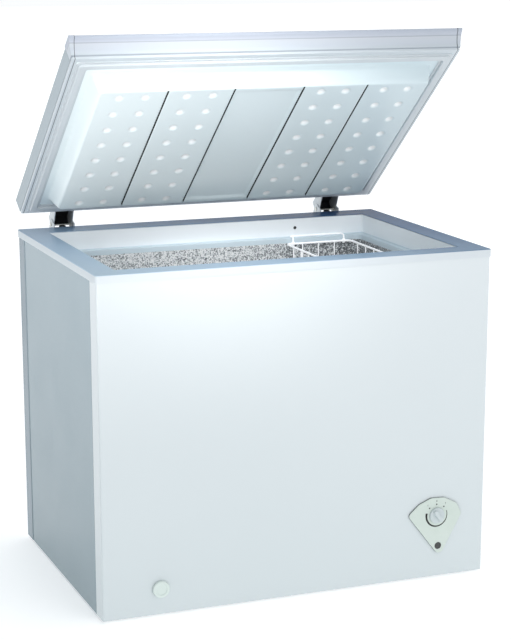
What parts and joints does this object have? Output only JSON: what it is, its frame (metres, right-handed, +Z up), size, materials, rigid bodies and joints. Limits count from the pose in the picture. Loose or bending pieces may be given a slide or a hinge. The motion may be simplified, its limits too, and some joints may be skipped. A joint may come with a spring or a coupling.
{
  "type": "chest freezer",
  "caption": "White free-standing chest freezer with a raised spring-hinged lid, embossed metal liner, hanging wire basket and a low dial control.",
  "frame": {"origin": "X=0 and Y=0 are the middle of the whole object with its lid raised, Z=0 is the floor under its feet", "axes": "+X to the right seen from the front, +Y to the back, +Z up"},
  "size_m": [0.9494, 0.7378, 1.2814],
  "materials": {
    "white_painted_steel": "smooth semi-gloss white enamel",
    "galvanised_steel": "dull zinc grey",
    "white_plastic_rim": "glossy white moulding",
    "white_plastic": "white, smooth",
    "liner_aluminium": "stucco embossed, bright",
    "lid_liner_plastic": "vacuum formed white sheet",
    "gasket_rubber": "soft white",
    "foam": "rigid cellular foam",
    "black_rubber": "matt black",
    "black_paint": "semi-gloss black",
    "hinge_steel": "white coated steel",
    "zinc_fastener": "bright zinc",
    "spring_steel": "oiled steel wire",
    "aluminium_tube": "dull aluminium",
    "steel_tube": "dark steel",
    "copper_colour": "copper coloured",
    "bezel_plastic": "pale cream, satin",
    "knob_plastic": "light grey, satin",
    "lamp_plastic": "dark tinted window",
    "black_plastic": "matt black",
    "white_coated_wire": "thick white dip coating",
    "clear_pipe": "grey tube"
  },
  "bodies": {
    "cabinet": {"front_panel": "white_painted_steel", "rear_panel": "white_painted_steel", "left_side_panel": "white_painted_steel", "right_side_panel": "white_painted_steel", "base_panel": "galvanised_steel", "compressor_tray": "galvanised_steel", "compartment_shroud": "galvanised_steel", "feet": "black_plastic", "top_frame": "white_plastic_rim", "liner_collar": "white_plastic", "collar_plug": "black_plastic", "inner_liner": "liner_aluminium", "evaporator_tube": "aluminium_tube", "condenser_tube": "steel_tube", "drain_tube": "clear_pipe", "drain_outlet": "white_plastic", "cabinet_foam": "foam", "compressor": "black_paint", "compressor_bracket": "black_paint", "compressor_grommets": "black_rubber", "compressor_bolts": "zinc_fastener", "relay_cover": "black_plastic", "suction_tube": "copper_colour", "discharge_tube": "copper_colour", "filter_drier": "copper_colour", "capillary_tube": "copper_colour", "control_bezel": "bezel_plastic", "thermostat": "white_plastic", "power_lamp": "lamp_plastic", "thermostat_sensor": "copper_colour", "wiring_harness": "black_plastic", "rear_grille": "black_plastic", "grille_screws": "zinc_fastener", "cord_gland": "black_rubber", "hinge_left_channel": "hinge_steel", "hinge_right_channel": "hinge_steel", "hinge_rivets": "zinc_fastener", "hinge_channel_screws": "zinc_fastener", "hinge_left_spring": "spring_steel", "hinge_right_spring": "spring_steel"},
    "lid": {"lid_lower_frame": "white_plastic", "lid_top_panel": "white_painted_steel", "lid_front_trim": "white_plastic", "lid_corner_caps": "white_plastic", "lid_foam": "foam", "lid_inner_panel": "lid_liner_plastic", "lid_gasket": "gasket_rubber", "hinge_left_bracket": "hinge_steel", "hinge_right_bracket": "hinge_steel", "hinge_followers": "zinc_fastener", "hinge_lid_screws": "zinc_fastener"},
    "basket": {"wire_basket": "white_coated_wire"},
    "bail_front": {"basket_bail_front": "white_coated_wire"},
    "bail_rear": {"basket_bail_rear": "white_coated_wire"},
    "knob": {"control_knob": "knob_plastic", "thermostat_shaft": "zinc_fastener"},
    "outer_drain_cap": {"drain_cap": "white_plastic"},
    "inner_drain_plug": {"floor_drain_plug": "white_plastic"},
    "plunger_left": {"hinge_left_plunger": "black_plastic"},
    "plunger_right": {"hinge_right_plunger": "black_plastic"}
  },
  "joints": [
    {"name": "lid_hinge", "type": "hinge", "parent": "cabinet", "child": "lid", "pos_m": [0, 0.33906, 0.7905], "axis": [-1, 0, 0], "range_deg": [-39.5, 45]},
    {"name": "basket_slide", "type": "slide", "parent": "cabinet", "child": "basket", "axis": [1, 0, 0], "range_m": [-0.58, 0.02]},
    {"name": "front_bail_hinge", "type": "hinge", "parent": "basket", "child": "bail_front", "pos_m": [0.282, -0.27194, 0.7265], "axis": [-1, 0, 0], "range_deg": [0, 140]},
    {"name": "rear_bail_hinge", "type": "hinge", "parent": "basket", "child": "bail_rear", "pos_m": [0.282, 0.21106, 0.7265], "axis": [1, 0, 0], "range_deg": [0, 140]},
    {"name": "thermostat_turn", "type": "hinge", "parent": "cabinet", "child": "knob", "pos_m": [0.3475, -0.35094, 0.16], "axis": [0, -1, 0], "range_deg": [-150, 150]},
    {"name": "drain_cap_pull", "type": "slide", "parent": "cabinet", "child": "outer_drain_cap", "axis": [0, -1, 0], "range_m": [0, 0.03]},
    {"name": "drain_plug_lift", "type": "slide", "parent": "cabinet", "child": "inner_drain_plug", "axis": [0, 0, 1], "range_m": [0, 0.04]},
    {"name": "left_plunger_slide", "type": "slide", "parent": "cabinet", "child": "plunger_left", "axis": [0, 0, 1], "range_m": [-0.0066, 0.0075], "deforming": ["hinge_left_spring"]},
    {"name": "right_plunger_slide", "type": "slide", "parent": "cabinet", "child": "plunger_right", "axis": [0, 0, 1], "range_m": [-0.0066, 0.0075], "deforming": ["hinge_right_spring"]}
  ],
  "couplings": [
    {"joint": "left_plunger_slide", "follows": "lid_hinge", "m_per_rad": 0.0095},
    {"joint": "right_plunger_slide", "follows": "lid_hinge", "m_per_rad": 0.0095}
  ]
}
